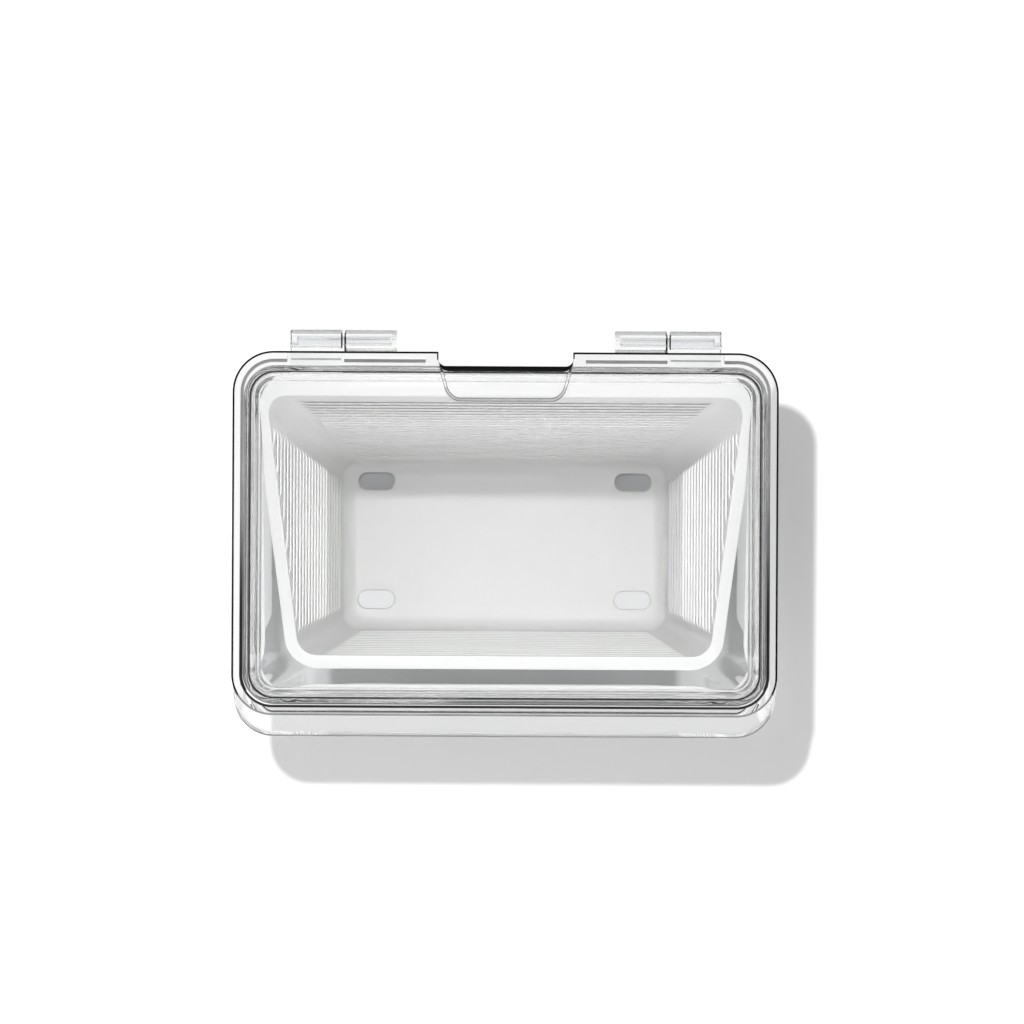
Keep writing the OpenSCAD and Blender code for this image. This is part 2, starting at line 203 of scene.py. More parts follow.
def addMix(tree, share, first, second):
    return addNode(tree, "Mix", {"Factor": share, "A": first, "B": second}).outputs["Result"]


def addNoise(tree, place, scale, detail):
    return addNode(tree, "TexNoise", {"Vector": place, "Scale": scale, "Detail": detail}).outputs["Fac"]


def addBump(tree, height, strength, depth):
    inputs = {"Height": height, "Strength": strength, "Distance": depth}
    return addNode(tree, "Bump", inputs).outputs["Normal"]


# A value carried from one pair of ends to another and held there
def addRange(tree, value, start, end, **settings):
    inputs = {"Value": value, "From Min": start[0], "From Max": start[1], "To Min": end[0], "To Max": end[1]}
    return addNode(tree, "MapRange", inputs, **settings).outputs["Result"]


# A colour that runs through stops, each a place and a colour
def addRamp(tree, value, stops):
    node = addNode(tree, "ValToRGB", {"Fac": value})
    points = node.color_ramp.elements
    while len(points) < len(stops):
        points.new(0.5)
    for point, (place, colour) in zip(points, stops):
        point.position = place
        point.color = (*colour, 1)
    return node.outputs["Color"]


def axisOf(tree, place, axis):
    return addNode(tree, "SeparateXYZ", {"Vector": place}).outputs[axis]


# Shows one shader mixed with another by a share
def mixShaders(tree, share, first, second):
    both = addNode(tree, "MixShader", {"Fac": share, 1: first, 2: second})
    setInputs(tree, tree.nodes["Material Output"], {"Surface": both.outputs["Shader"]})


# A new material with its node tree, its shader and the place on the object
def newMaterial(name):
    made = bpy.data.materials.new(name)
    made.use_nodes = True
    tree = made.node_tree
    return made, tree, tree.nodes["Principled BSDF"], addNode(tree, "TexCoord").outputs["Object"]


# Materials

# Clear polished plastic: refracting, faintly clouded in tint, with soft flow ripples from moulding.
# Lamps shine through it, so what stands inside is lit: by one share at the front and another elsewhere.
def clearPlastic(name, tint, shade, look):
    made, tree, shader, place = newMaterial(name)
    cloud = addNoise(tree, place, look["hazeScale"], look["hazeDetail"])
    darker, lighter = [[v + change for v in tint] for change in (-look["haze"], look["haze"])]
    flow = addNoise(tree, place, look["flowScale"], look["flowDetail"])
    setInputs(tree, shader, {
        "Transmission Weight": 1.0, "Roughness": 0.0, "IOR": look["ior"], "Specular IOR Level": look["gloss"],
        "Base Color": addRamp(tree, cloud, ((0, darker), (1, lighter))),
        "Normal": addBump(tree, flow, look["flow"], look["flowDepth"])})
    # light that meets the plastic at a low angle is mostly turned away, so upright walls cast a shadow
    slant = addNode(tree, "LayerWeight", {"Blend": look["slant"]}).outputs["Facing"]
    share = addRange(tree, axisOf(tree, place, "Y"), look["fade"], shade)
    through = addNode(tree, "BsdfTransparent", {"Color": addMix(tree, slant, share, look["lowest"])})
    shadow = addNode(tree, "LightPath").outputs["Is Shadow Ray"]
    mixShaders(tree, shadow, shader.outputs["BSDF"], through.outputs["BSDF"])
    return made


clearLook = {"ior": 1.5, "gloss": 0.5, "hazeScale": 60.0, "hazeDetail": 4.0, "haze": 0.01, "flowScale": 25.0,
             "flowDetail": 1.0, "flow": 0.001, "flowDepth": 0.001, "slant": 0.3, "fade": (-0.043, -0.036),
             "lowest": 0.1}
containerClear = clearPlastic("containerClear", (0.97, 0.975, 0.98), (0.1, 0.4), clearLook)
lidClear = clearPlastic("lidClear", (0.98, 0.983, 0.985), (0.95, 0.95), {**clearLook, "slant": 0.05})
ringClear = clearPlastic("ringClear", (0.98, 0.983, 0.985), (0.1, 0.1), clearLook)
pinClear = clearPlastic("pinClear", (0.9, 0.91, 0.92), (0.85, 0.85), clearLook)


# A painted line for a rounded edge of clear plastic: an opaque dark colour standing in for the shade that shows
# where light is led away inside it. Its painted tone runs smoothly from one value at the front to another at the
# back, times a faint clouding.
def edgeLine(name, tones, look):
    made, tree, shader, place = newMaterial(name)
    along = addRange(tree, axisOf(tree, place, "Y"), look["fade"], tones, interpolation_type="SMOOTHSTEP")
    cloud = addNoise(tree, place, look["cloudScale"], look["cloudDetail"])
    spread = addRange(tree, cloud, (0, 1), look["spread"])
    setInputs(tree, shader, {"Roughness": look["rough"], "Specular IOR Level": look["gloss"],
                             "Base Color": addMath(tree, "MULTIPLY", along, spread)})
    return made


edgeLook = {"rough": 0.3, "gloss": 0.08, "cloudScale": 90.0, "cloudDetail": 2.0, "spread": (0.6, 1.4),
            "fade": (-0.022, 0.02)}
# painted shade lines: black, grey, and black at the front turning grey at the back
lineDark = edgeLine("lineDark", (0.006, 0.006), edgeLook)
lineGrey = edgeLine("lineGrey", (0.3, 0.3), edgeLook)
lineRing = edgeLine("lineRing", (0.006, 0.42), edgeLook)


# Satin white plastic: warm white with faint clouding in tone and gloss, and a fine moulded grain.
# Its painted glow is an emission standing in for light that scatters through the thin wall: even, or only towards
# the back.
def satinWhite(name, look):
    made, tree, shader, place = newMaterial(name)
    cloud = addNoise(tree, place, look["cloudScale"], look["cloudDetail"])
    grain = addNoise(tree, place, look["grainScale"], look["grainDetail"])
    lift = (1, 1, 1, 1)
    if look["liftFade"]:
        lift = addRange(tree, axisOf(tree, place, "Y"), look["liftFade"], (0, 1), interpolation_type="SMOOTHSTEP")
    setInputs(tree, shader, {
        "Base Color": addRamp(tree, cloud, tuple(zip(look["toneStops"], look["tones"]))),
        "Roughness": addRange(tree, cloud, (0, 1), look["rough"]),
        "Normal": addBump(tree, grain, look["grain"], look["grainDepth"]),
        "Emission Color": lift, "Emission Strength": look["lift"]})
    return made


whiteLook = {"cloudScale": 18.0, "cloudDetail": 3.0, "toneStops": (0.3, 0.7),
             "tones": ((0.85, 0.85, 0.845), (0.89, 0.89, 0.885)), "rough": (0.3, 0.42), "grainScale": 1600.0,
             "grainDetail": 2.0, "grain": 0.1, "grainDepth": 0.0002, "lift": 0.0, "liftFade": None}
# painted light: the inner white glows towards the back, brightening the back wall and back corners
basketWhite = satinWhite("basketWhite", {**whiteLook, "lift": 0.1, "liftFade": (0.022, 0.031)})
# a lit copy of the white, lighter and glowing: painted light on the rim and on the ledges' tops
paintedLitWhite = satinWhite("paintedLitWhite", {**whiteLook, "tones": ((0.95, 0.95, 0.945), (0.97, 0.97, 0.965)),
                                   "rough": (0.25, 0.35), "grain": 0.06, "lift": 0.2})
# painted light: the outer wall glows faintly, lightening the gap between basket and container
outerPaintedGlow = satinWhite("outerPaintedGlow", {**whiteLook, "lift": 0.12})
# a dark copy of the white: painted shade in the crease at the foot of each ledge
paintedCreaseShade = satinWhite("paintedCreaseShade", {**whiteLook, "tones": ((0.3, 0.3, 0.295), (0.36, 0.36, 0.355)),
                                         "rough": (0.4, 0.5)})
print("materials made")


# Container: one drafted shell, its floor and rim rounded

containerShape = {"halfW": 69.6, "halfD": 45.05, "corner": 8.45, "rimZ": 232.5, "draft": 1.0, "wall": 2.0,
                  "floor": 3.0, "baseRound": 5.0, "flat": 2.0, "rimRound": 0.6, "lineSkip": 3, "wallSteps": 8,
                  "roundSteps": 8, "cornerSteps": 20, "straightSteps": 12, "softAngle": 38}
containerSkins = (containerClear, lineRing, lineDark)
containerSlot = {"clear": 0, "line": 1, "dark": 2}


# Half size lost to the draft at a height
def draftIn(z):
    return (containerShape["rimZ"] - np.asarray(z, float)) * math.tan(math.radians(containerShape["draft"]))


# The shell as one profile carried round a rounded rectangle: from the inside floor up the inner wall,
# over the rim and down the outer wall to the base. Each part of the profile gives its inset from the
# outer face, its height and its corner radius.
def containerShell(s):
    across, up = quarter(s["roundSteps"])
    rim, wall, top, base = s["rimRound"], s["wall"], s["rimZ"], s["baseRound"]
    innerR, innerCorner = base - wall, s["corner"] - wall
    rise = np.linspace(0, 1, s["wallSteps"])[1:-1]
    innerRise = s["floor"] + innerR + (top - rim - s["floor"] - innerR) * rise
    parts = [(wall + innerR + s["flat"], s["floor"], innerCorner),
             (wall + innerR * (1 - up), s["floor"] + innerR * (1 - across), innerCorner),
             (wall, innerRise, innerCorner),
             (wall - rim + rim * across, top - rim + rim * up, innerCorner + rim * (1 - across)),
             (rim - rim * up, top - rim + rim * across, s["corner"] - rim * (1 - up)),
             (0.0, top - rim + (base - top + rim) * rise, s["corner"]),
             (base * (1 - up[::-1]), base * (1 - across[::-1]), s["corner"]),
             (base + s["flat"], 0.0, s["corner"])]
    parts = [np.broadcast_arrays(*[np.atleast_1d(v) for v in part]) for part in parts]
    inset, height, radius = np.concatenate([np.stack(part) for part in parts], 1)
    weights = outlineWeights(s["cornerSteps"], s["straightSteps"])
    half = -draftIn(height) - inset
    grid = outlineGrid(weights, s["halfW"] + half, s["halfD"] + half, radius, 0.0, 0.0, height)
    # the outer part of the rim's rounding is painted as a thin line of shade, dark at the front and grey at the
    # back
    faceSlots = np.full((len(inset) - 1, len(weights)), containerSlot["clear"])
    rimStart = sum(len(part[0]) for part in parts[:4])
    faceSlots[rimStart + s["lineSkip"]:rimStart + len(up) - 1] = containerSlot["line"]
    return grid, faceSlots


# The hinge's values serve the container, the pins and the lid. The arm's painted line is the column of its turn
# angles that lies where the lid's ring has its painted line, and painted dark spots stand in for the shade on the
# edges that face the gap.
hingeShape = {"axisY": 51.65, "axisZ": 230.8, "knuckleR": 3.05, "bore": 1.22, "lidBore": 1.26, "boreTip": 0.2,
              "gapX": 43.2, "gap": 0.5, "length": 14.0, "closedEnd": 1.4, "edge": 0.35, "spot": 0.7,
              "turnSteps": 240, "armLine": 109, "armTop": 232.2, "armRoot": 44.05, "webTop": 233.85,
              "webLow": 229.6, "webRoot": 47.75}


# Distance from the hinge axis to the outline of a knuckle and its arm, for each turn angle:
# the larger of the round and the nearest of the top, the underside and the root of the arm.
def armReach(turn, s, top, low, root):
    c, n = np.cos(turn), np.sin(turn)
    tiny, far = 1e-6, 1e6
    toRoot = np.where(c < -tiny, (s["axisY"] - root) / np.maximum(-c, tiny), 0.0)
    toTop = np.where(n > tiny, (top - s["axisZ"]) / np.maximum(n, tiny), far)
    toLow = np.where(n < -tiny, (s["axisZ"] - low) / np.maximum(-n, tiny), far)
    return np.maximum(s["knuckleR"], np.minimum(np.minimum(toRoot, toTop), toLow))


# Rings round the hinge axis: each has a place along it and a radius per turn angle
def hingeRings(places, radii, turn):
    y = hingeShape["axisY"] + radii * np.cos(turn)
    z = hingeShape["axisZ"] + radii * np.sin(turn)
    return np.stack(np.broadcast_arrays(np.asarray(places)[:, None], y, z), -1)


# A bored knuckle with its arm: rings of the side outline along the hinge, wrapped through the bore
def boredKnuckle(s, start, end, reach, turn):
    e = s["edge"]
    hole = np.full_like(reach, s["bore"])
    return hingeRings([start, start, start + e, end - e, end, end],
                      np.stack([hole, reach - e, reach, reach, reach - e, hole]), turn)


# A knuckle with a blind bore: the same rings, closed by a flat at the bore's end and at the shut end
def blindKnuckle(s, openX, shutX, boreX, reach, turn):
    e = s["edge"]
    inward = e * np.sign(shutX - openX)
    hole, tip = np.full_like(reach, s["lidBore"]), np.full_like(reach, s["boreTip"])
    return hingeRings([boreX, boreX, openX, openX, openX + inward, shutX - inward, shutX, shutX],
                      np.stack([tip, hole, hole, reach - e, reach, reach, reach - e, tip]), turn)


containerPoints, containerFaces = containerShell(containerShape)
container = makeShape("containerShell", containerPoints, containerSkins, slots=containerFaces)
turnAngles = np.linspace(0, 2 * math.pi, hingeShape["turnSteps"], endpoint=False)
paintedGapShade = np.abs(np.cos(turnAngles)) < hingeShape["spot"]
containerReach = armReach(turnAngles, hingeShape, hingeShape["armTop"],
                          hingeShape["axisZ"] - hingeShape["knuckleR"], hingeShape["armRoot"])
arms = []
for side in (-1, 1):
    near = side * (hingeShape["gapX"] + hingeShape["gap"] / 2)
    far = side * (hingeShape["gapX"] + hingeShape["gap"] / 2 + hingeShape["length"])
    armPoints = boredKnuckle(hingeShape, min(near, far), max(near, far), containerReach, turnAngles)
    armFaces = np.full(armPoints.shape[:2], containerSlot["clear"])
    # the knuckle end that faces the gap gets painted shade, and one column gets a painted line
    armFaces[1 if side > 0 else 3][paintedGapShade] = containerSlot["dark"]
    armFaces[2, hingeShape["armLine"]] = containerSlot["line"]
    arms.append(makeShape("arm", armPoints, containerSkins, wrapRows=True, slots=armFaces))
combine(container, arms, "UNION")
softShade(container, containerShape["softAngle"])
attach(container, "container")
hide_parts("container")
print("container made:", len(container.data.polygons), "faces")


# Hinge pins

pinShape = {"radius": 1.2, "outerX": 55.55, "innerX": 30.65, "chamfer": 0.25, "tip": 0.1, "steps": 40,
            "softAngle": 38}


# A pin as circles at places along the hinge, a little smaller at both ends
def hingePin(side, p):
    inner, outer, chamfer, radius = p["innerX"], p["outerX"], p["chamfer"], p["radius"]
    places = side * np.array([inner, inner, inner + chamfer, outer - chamfer, outer, outer])
    radii = np.array([p["tip"], radius - chamfer, radius, radius, radius - chamfer, p["tip"]])
    return hingeRings(places, radii[:, None], np.linspace(0, 2 * math.pi, p["steps"], endpoint=False))


for side, word in ((-1, "left"), (1, "right")):
    pin = makeShape("hingePin" + word.capitalize(), hingePin(side, pinShape), (pinClear,))
    softShade(pin, pinShape["softAngle"])
    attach(pin, "container")
    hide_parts("hinge_pin_" + word)
print("hinge pins made")


# Basket: ribbed drafted walls, sloping rim flange, corner feet, four drain slots

# Each rib's ledge is given by its rises above the rib's top and by shares of the ledge's width. The step
# before the last carries painted shade in the crease at the ledge's foot, whose share is for the side walls.
basketShape = {"floorZ": 10.6, "halfW": 64.5, "halfD": 37.75, "sideDraft": 3.6, "endDraft": 3.1, "headZ": 224.3,
               "midY": -0.3, "floorShift": 2.2, "corner": 5.2, "wall": 1.6, "fillet": 4.0, "floorFlat": (1.5, 0.5),
               "rimDrop": 86.0, "rimT": 2.0, "rimSide": 3.5, "rimBack": 5.1, "rimFront": 4.1, "rimRound": 0.45,
               "rimHem": 0.3, "rimBelow": 0.6, "rimGuess": 30.0, "rimTurns": 30, "gap": 0.35,
               "ribStart": 16.0, "ribPitch": 8.0, "ribFoot": 8.0, "ribLedge": 0.55, "ribFront": 0.55,
               "ribBack": 0.8, "ribMargin": 1.8, "ribFade": 0.5, "ledgeRise": (-0.36, -0.12, 0.0, 0.01, 0.02),
               "ledgeIn": (1.0, 0.96, 0.75, 0.36, 0.0), "creaseSide": 0.8, "creaseBack": 0.4, "creaseGain": 1.3,
               "backCrease": 2.0, "backFade": 0.5, "wallShares": (0.25, 0.5, 0.75, 1.0),
               "outerShares": (0.0, 0.02, 0.35, 0.7, 1.0), "underGap": 0.3,
               "footZ": 3.0, "footLevel": 6.0, "footPair": 0.002, "footEdge": 0.2, "underZ": 9.0, "footW": 16.0,
               "slotSide": 10.5, "slotBack": 5.8, "slotFront": 9.4, "slotL": 11.6, "slotW": 5.6,
               "slotRise": (0.5, 0.15), "slotGrow": (0.12, 0.45), "slotPast": (1.0, 2.0), "slotSteps": (12, 3),
               "roundSteps": 6, "cornerSteps": 14, "straightSteps": 44, "softAngle": 22}
basketShape["rimSlope"] = basketShape["rimDrop"] / (2 * basketShape["halfD"])
basketShape["topZ"] = basketShape["headZ"] - basketShape["rimBack"] * basketShape["rimSlope"]
basketSkins = (basketWhite, paintedLitWhite, outerPaintedGlow, paintedCreaseShade)
basketSlot = {"white": 0, "rim": 1, "outer": 2, "crease": 3}
flatShare = 0.999


# Half width, half depth and middle of the basket's inside at a height: straight drafted lines
def basketHalfW(z):
    return basketShape["halfW"] - (basketShape["topZ"] - z) * math.tan(math.radians(basketShape["sideDraft"]))


def basketHalfD(z):
    return basketShape["halfD"] - (basketShape["topZ"] - z) * math.tan(math.radians(basketShape["endDraft"]))


def basketMidY(z):
    share = (basketShape["topZ"] - z) / (basketShape["topZ"] - basketShape["floorZ"])
    return basketShape["midY"] - basketShape["floorShift"] * share


# Height of the sloping rim's plane at a place from front to back
def rimHeight(y):
    return basketShape["topZ"] + (y - basketShape["midY"] - basketShape["halfD"]) * basketShape["rimSlope"]


# A row of the basket's outline at a height per point, moved out by a reach at the sides, back and front,
# and inwards where the ribs are. The width is kept inside the container, as the flange is cut there.
def basketRow(weights, z, reach, inward):
    a, b, c, d = weights.T
    s = basketShape
    side, back, front = reach
    room = containerShape["halfW"] - draftIn(z) - containerShape["wall"] - s["gap"]
    halfW = np.minimum(basketHalfW(z) + side, room)
    halfD = basketHalfD(z) + (back + front) / 2
    midY = basketMidY(z) + (back - front) / 2
    r = s["corner"] + side
    x = a * (halfW - inward - r) + c * r
    y = b * (halfD - inward - r) + d * r + midY
    return np.stack([x, y, z], -1)


# Height per column at which an outline meets the rim plane lowered by a drop, by repeated substitution
def rimMeets(weights, reach, drop):
    z = np.full(len(weights), basketShape["topZ"] - basketShape["rimGuess"])
    for turn in range(basketShape["rimTurns"]):
        z = rimHeight(basketRow(weights, z, reach, 0.0)[:, 1]) - drop
    return z


# The basket as one profile carried round: floor, fillet, ribbed wall, rim, outside wall, feet, underside.
# Each row also says which material the faces after it have.
def basketGrid(s):
    # columns stand close together at the edges of the corner feet
    level, pair = s["footLevel"], np.array([-s["footPair"], s["footPair"]])
    footX, footY = basketHalfW(s["floorZ"]) - s["footW"], basketHalfD(s["floorZ"]) - s["footW"]
    markX = (1 - footX / (basketHalfW(level) - s["corner"])) / 2
    markY = (1 - footY / (basketHalfD(level) - s["corner"])) / 2
    weights = outlineWeights(s["cornerSteps"], s["straightSteps"],
                             np.concatenate([markX + pair, 1 - markX + pair]),
                             np.concatenate([markY + pair, 1 - markY + pair]))
    a, b, c, d = weights.T
    white, paintedLitSkin, outer = basketSlot["white"], basketSlot["rim"], basketSlot["outer"]
    rows, faceRows = [], []

    def addRow(z, reach, slot, inward=0.0):
        rows.append(basketRow(weights, z + 0 * a, reach, inward))
        faceRows.append(np.broadcast_to(slot, len(a)))

    def addRim(reach, drop, slot=paintedLitSkin):
        addRow(rimMeets(weights, reach, drop), reach, slot)

    def evenly(out):
        return (out, out, out)

    def rimReach(less):
        return (s["rimSide"] - less, s["rimBack"] - less, s["rimFront"] - less)

    # share of a rib's ledge per column: full on the side flats, less on the front and back, none in the corners
    flatX = np.clip((1 - np.abs(a)) * (s["halfW"] - s["corner"]) - s["ribMargin"], 0, 1)
    flatY = np.clip((1 - np.abs(b)) * (s["halfD"] - s["corner"]) - s["ribMargin"], 0, 1)
    endShare = flatX * np.where(d > 0, s["ribBack"], s["ribFront"])
    ribShare = np.where(np.abs(d) > flatShare, endShare, np.where(np.abs(c) > flatShare, flatY, 0.0))
    onBack = d > flatShare
    shown = (ribShare > 0) & (d > -flatShare)
    # inside: floor, fillet, ribbed wall up to the rim
    across, up = quarter(s["roundSteps"])
    rimIn = rimMeets(weights, evenly(0.0), 0.0)
    wallTop = rimIn - s["rimBelow"]
    for more in s["floorFlat"]:
        addRow(s["floorZ"], evenly(0.0), white, s["fillet"] + more)
    for out, rise in zip(across, up):
        addRow(s["floorZ"] + s["fillet"] * (1 - out), evenly(0.0), white, s["fillet"] * (1 - rise))
    ribTop = s["topZ"] - s["ribStart"]
    count = math.ceil((ribTop - s["floorZ"] - s["ribFoot"]) / s["ribPitch"])
    for rib in range(count):
        # the crease's painted shade is widest at the top rib and runs out lower down, and so do the back wall's
        # ledges
        depth = (1 - rib / (count - 1)) / np.where(onBack, s["creaseBack"], s["creaseSide"])
        crease = np.clip(s["creaseGain"] * (1 - depth), 0, 1)
        creased = shown & (crease > 0)
        # creased ledges get the lit white as a painted highlight on their tops, and the crease row gets painted
        # shade
        ledge = np.where(creased, paintedLitSkin, white)
        skins = (ledge, ledge, ledge, np.where(creased, basketSlot["crease"], white), white)
        wide = crease * np.where(onBack, s["backCrease"], 1)
        width = s["ribLedge"] * ribShare * np.where(onBack, 1 - s["backFade"] * np.clip(depth, 0, 1), 1)
        for rise, part, more, skin in zip(s["ledgeRise"], s["ledgeIn"], (1, 1, 1, wide, 1), skins):
            z = ribTop - (count - 1 - rib) * s["ribPitch"] + rise
            fade = np.clip((rimIn - s["rimT"] - z) / s["ribFade"], 0, 1)
            addRow(np.minimum(z, wallTop), evenly(0.0), skin, part * more * width * fade)
    low = np.minimum(ribTop + s["ledgeRise"][-1], wallTop)
    # the rim from the wall's top row on is painted in the lit white
    for share in s["wallShares"]:
        addRow(low + (rimIn - s["rimRound"] - low) * share, evenly(0.0), paintedLitSkin if share == 1 else white)
    # rim: inner rounding, top, outer rounding, underside
    q = s["rimRound"]
    for out, rise in zip(across[1:], up[1:]):
        addRim(evenly(q * (1 - out)), q * (1 - rise))
    for out, rise in zip(across, up):
        addRim(rimReach(q * (1 - rise)), q * (1 - out))
    addRim(rimReach(0.0), s["rimT"] - s["rimHem"])
    addRim(rimReach(s["rimHem"]), s["rimT"], outer)
    # outside wall down to the feet, then up inside them to the underside of the floor
    wall, edge = s["wall"], s["footEdge"]
    under = rimMeets(weights, evenly(wall), s["rimT"])
    x, y, z = basketRow(weights, level + 0 * a, evenly(wall), 0.0).T
    isFoot = (np.abs(x) > footX) & (np.abs(y - basketMidY(level)) > footY)
    bottom = np.where(isFoot, s["footZ"], s["underZ"])
    for share in s["outerShares"]:
        addRow(under + (s["underZ"] + s["underGap"] - under) * share, evenly(wall), outer)
    for z, grow in ((bottom + edge, wall), (bottom, wall - edge), (bottom, edge), (s["underZ"], 0.0)):
        addRow(z, evenly(grow), outer)
    return np.stack(rows), np.stack(faceRows[:-1])


# A drain slot's cutter: a stack of stadium outlines, a little wider at the floor's top
def slotCutter(x, y, s):
    top, (deep, shallow), (small, wide) = s["floorZ"], s["slotRise"], s["slotGrow"]
    below, above = s["slotPast"]
    z = np.array([s["underZ"] - below, top - deep, top - shallow, top, top + above])
    grow = np.array([0.0, 0.0, small, wide, wide])
    return outlineGrid(outlineWeights(*s["slotSteps"]), s["slotL"] / 2 + grow, s["slotW"] / 2 + grow,
                       s["slotW"] / 2 + grow - 1e-3, x, y, z)


basketPoints, basketFaces = basketGrid(basketShape)
basket = makeShape("basketBody", basketPoints, basketSkins, slots=basketFaces)
floorX, floorY = basketHalfW(basketShape["floorZ"]), basketHalfD(basketShape["floorZ"])
slotX, floorMid = floorX - basketShape["slotSide"], basketMidY(basketShape["floorZ"])
drains = []
for x in (-slotX, slotX):
    for y in (floorMid + floorY - basketShape["slotBack"], floorMid - floorY + basketShape["slotFront"]):
        drains.append(makeShape("slot", slotCutter(x, y, basketShape)))
combine(basket, drains, "DIFFERENCE")
softShade(basket, basketShape["softAngle"])
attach(basket, "basket")
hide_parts("basket")
print("basket made:", len(basket.data.polygons), "faces")


# Lid: plate, skirt flared into a lift lip, plug ring, then its notch, scoop and knuckles

lidShape = {"halfW": 72.5, "halfD": 48.35, "corner": 10.9, "midY": 0.4, "topZ": 235.0, "plate": 2.2, "skirt": 2.0,
            "skirtBack": 6.5, "lipH": 10.0, "lipStraight": 3.2, "lipReach": 6.2, "lipStart": -37.05,
            "lipSteps": (0.03, 0.5), "edge": 0.55, "flat": 1.5, "hem": 0.3, "hemLine": 0.93, "root": 0.93,
            "rootLine": 6, "frontLine": 5, "ringW": 7.0, "plugRoot": 0.4, "plugHem": 0.4, "plugW": 67.2,
            "plugD": 42.65, "plugCorner": 6.05, "plugT": 1.6, "plugH": 5.0, "notchHalf": 17.9, "notchY": 45.05,
            "notchR": 2.0, "notchRound": (1.5, 0.9), "notchSide": 0.25, "notchOut": 12.0, "notchPast": (4.0, 3.0),
            "notchSteps": (10, 8), "bareHalf": 21.3, "scoopEnd": 15.3, "scoopL": 9.5, "scoopDepth": 1.1,
            "scoopSoft": 1.0, "scoopLine": 0.22, "scoopR": 3.6, "scoopPast": 2.0, "scoopSteps": (12, 8),
            "reliefIn": 42.95, "reliefOut": 58.05, "reliefBack": 50.5, "reliefDeep": 12.0, "reliefR": 0.3,
            "frontTurn": -0.5, "roundSteps": 6, "cornerSteps": 20, "straightSteps": 16, "softAngle": 30}
lidSkins = (lidClear, lineDark, lineGrey, ringClear, lineRing)
lidSlot = {"clear": 0, "dark": 1, "grey": 2, "ring": 3, "line": 4}


# The lid as one profile carried round: plate top, rounded edge, skirt, plate underside, plug ring, underside.
# The skirt's depth falls in a straight line from the lip to the hinges, and the lip moves forward with depth.
# Each row also says which material the faces after it have.
def lidBody(s):
    weights = outlineWeights(s["cornerSteps"], s["straightSteps"])
    a, b, c, d = weights.T
    across, up = quarter(s["roundSteps"])
    yTop = b * (s["halfD"] - s["corner"]) + d * s["corner"] + s["midY"]
    back = s["midY"] + s["halfD"]
    share = np.clip((yTop - s["lipStart"]) / (back - s["lipStart"]), 0, 1)
    skirtDepth = s["lipH"] + (s["skirtBack"] - s["lipH"]) * share
    front = d < s["frontTurn"]
    rows, faceRows = [], []

    def addRow(x, y, depth, slot):
        rows.append(np.stack([x, y, s["topZ"] - depth], -1))
        faceRows.append(np.broadcast_to(slot, len(a)))

    def lidRow(inset, depth, slot=lidSlot["ring"]):
        depth = depth + 0 * a
        out = np.clip((depth - s["lipStraight"]) / (s["lipH"] - s["lipStraight"]), 0, 1)
        reach = s["lipReach"] * out / 2
        r = s["corner"] - inset
        addRow(a * (s["halfW"] - s["corner"]) + c * r,
               b * (s["halfD"] + reach - s["corner"]) + d * r + s["midY"] - reach, depth, slot)

    def plugRow(inset, depth, slot=lidSlot["ring"]):
        r = s["plugCorner"] - inset
        addRow(a * (s["plugW"] - s["plugCorner"]) + c * r,
               b * (s["plugD"] - s["plugCorner"]) + d * r, depth + 0 * a, slot)

    e, hem, root, low = s["edge"], s["hem"], s["root"], s["plate"]
    plugRoot, plugHem, plugT, plugLow = s["plugRoot"], s["plugHem"], s["plugT"], s["plate"] + s["plugH"]

    # depth on the skirt's straight part, as a share of the way down
    def skirtAt(part):
        return s["lipStraight"] + (skirtDepth - hem - s["lipStraight"]) * part

    # plate top and its rounded edge, painted as a line of shade: dark, and grey at the front
    edgeSkin = np.where(front, lidSlot["grey"], lidSlot["dark"])
    lidRow(s["ringW"], 0.0)
    lidRow(e + s["flat"], 0.0)
    for out, rise in zip(across, up):
        lidRow(e * (1 - rise), e * (1 - out), edgeSkin if rise < 1 else lidSlot["ring"])
    # skirt: outer face with the lip's painted grey line, hem, inner face, root with the ring's painted line of
    # shade
    lidRow(0.0, s["lipStraight"])
    for part in s["lipSteps"]:
        lidRow(0.0, skirtAt(part))
    lidRow(0.0, skirtAt(s["hemLine"]), np.where(front, lidSlot["grey"], lidSlot["ring"]))
    for out, rise in zip(across, up):
        lidRow(hem * (1 - out), skirtDepth - hem + hem * rise)
    for out, rise in zip(across, up):
        lidRow(s["skirt"] - hem * (1 - rise), skirtDepth - hem + hem * out)
    for part in (*s["lipSteps"][::-1], 0.0):
        lidRow(s["skirt"], skirtAt(part))
    lineEnd = np.where(front, s["frontLine"], s["rootLine"])
    for k, (out, rise) in enumerate(zip(across, up)):
        lidRow(s["skirt"] + root * (1 - out), low + root - root * rise,
               np.where(k < lineEnd, lidSlot["line"], lidSlot["ring"]))
    # plug ring: outer root, lower edges, inner root, then the plate's underside
    for out, rise in zip(across, up):
        plugRow(-plugRoot * (1 - rise), low + plugRoot * (1 - out))
    for out, rise in zip(across, up):
        plugRow(plugHem * (1 - out), plugLow - plugHem + plugHem * rise)
    for out, rise in zip(across, up):
        plugRow(plugT - plugHem * (1 - rise), plugLow - plugHem + plugHem * out)
    for out, rise in zip(across, up):
        plugRow(plugT + plugRoot * (1 - out), low + plugRoot - plugRoot * rise, lidSlot["clear"])
    plugRow(plugT + plugRoot + s["flat"], low, lidSlot["clear"])
    return np.stack(rows), np.stack(faceRows[:-1])


